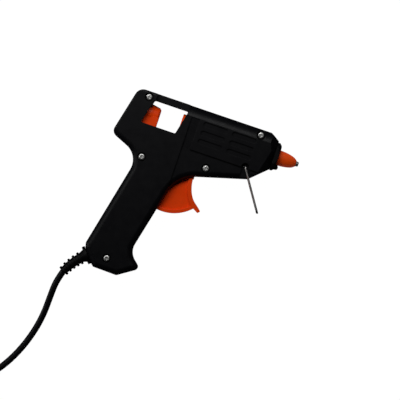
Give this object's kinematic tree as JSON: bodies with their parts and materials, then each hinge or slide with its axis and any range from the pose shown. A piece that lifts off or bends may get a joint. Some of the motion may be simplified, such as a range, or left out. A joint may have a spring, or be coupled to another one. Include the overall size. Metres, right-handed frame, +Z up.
{
  "type": "glue gun",
  "caption": "Small pistol-grip hot-melt glue gun lying on its side: two-part shell, feed trigger, wire stand, silicone-covered nozzle and mains cord with plug.",
  "frame": {"origin": "bottom centre of the gun's box, without the free cord, as it lies on its left side", "axes": "+X along the barrel towards the nozzle, +Y from the grip towards the gun's top, +Z up, out of the gun's right side"},
  "size_m": [0.2794, 0.2989, 0.028],
  "materials": {
    "black_plastic": "fine spark-eroded grain, satin",
    "collar_plastic": "smooth satin, heat-resistant",
    "orange_silicone": "soft satin silicone",
    "orange_plastic": "moulded, semi-gloss",
    "nozzle_metal": "nickel-plated, turned",
    "cast_aluminium": "as cast",
    "insulating_film": "amber polyimide film",
    "heater_ceramic": "fired ceramic",
    "electrode_metal": "tin-plated strip",
    "spring_steel": "bright spring steel",
    "zinc_steel": "bright zinc plate",
    "stand_wire": "bright drawn wire",
    "black_rubber": "moulded PVC boot",
    "cord_sheath": "glossy PVC sheath",
    "clamp_plastic": "moulded",
    "live_insulation": "silicone-rubber insulation",
    "neutral_insulation": "silicone-rubber insulation",
    "tie_plastic": "soft hook-and-loop strip",
    "plug_plastic": "moulded PVC",
    "pin_metal": "nickel-plated brass"
  },
  "bodies": {
    "root": {"right_housing": "black_plastic", "left_housing": "black_plastic", "housing_screws": "zinc_steel", "front_collar": "collar_plastic", "nozzle_boot": "orange_silicone", "nozzle": "nozzle_metal", "melt_chamber": "cast_aluminium", "heater_insulation": "insulating_film", "ptc_heater": "heater_ceramic", "electrode_plates": "electrode_metal", "heater_clip": "spring_steel", "inlet_sleeve": "orange_silicone", "sleeve_clamp": "spring_steel", "trigger_pin": "spring_steel", "return_spring": "spring_steel", "strain_relief": "black_rubber", "cord_entry": "cord_sheath", "cord_clamp": "clamp_plastic", "clamp_screws": "zinc_steel", "live_lead": "live_insulation", "neutral_lead": "neutral_insulation", "lead_crimps": "electrode_metal", "cord_run": "cord_sheath", "cord_coil": "cord_sheath", "cord_tie": "tie_plastic", "cord_tail": "cord_sheath", "plug_body": "plug_plastic", "plug_pins": "pin_metal"},
    "trigger": {"trigger": "orange_plastic"},
    "feed_carriage": {"feed_carriage": "orange_plastic"},
    "wire_stand": {"wire_stand": "stand_wire"}
  },
  "joints": [
    {"name": "trigger_pull", "type": "hinge", "parent": "root", "child": "trigger", "pos_m": [-0.0153, 0.02625, 0.014], "axis": [0, 0, -1], "range_deg": [0, 30], "stiffness_Nm_per_rad": 0.15, "springref_deg": -20.05, "deforming": ["return_spring"]},
    {"name": "carriage_feed", "type": "slide", "parent": "root", "child": "feed_carriage", "axis": [1, 0, 0], "range_m": [0, 0.0135]},
    {"name": "stand_fold", "type": "hinge", "parent": "root", "child": "wire_stand", "pos_m": [0.0398, 0.05045, 0.014], "axis": [0, 0, -1], "range_deg": [0, 88]}
  ],
  "couplings": [
    {"joint": "carriage_feed", "follows": "trigger_pull", "m_per_rad": 0.0257}
  ]
}
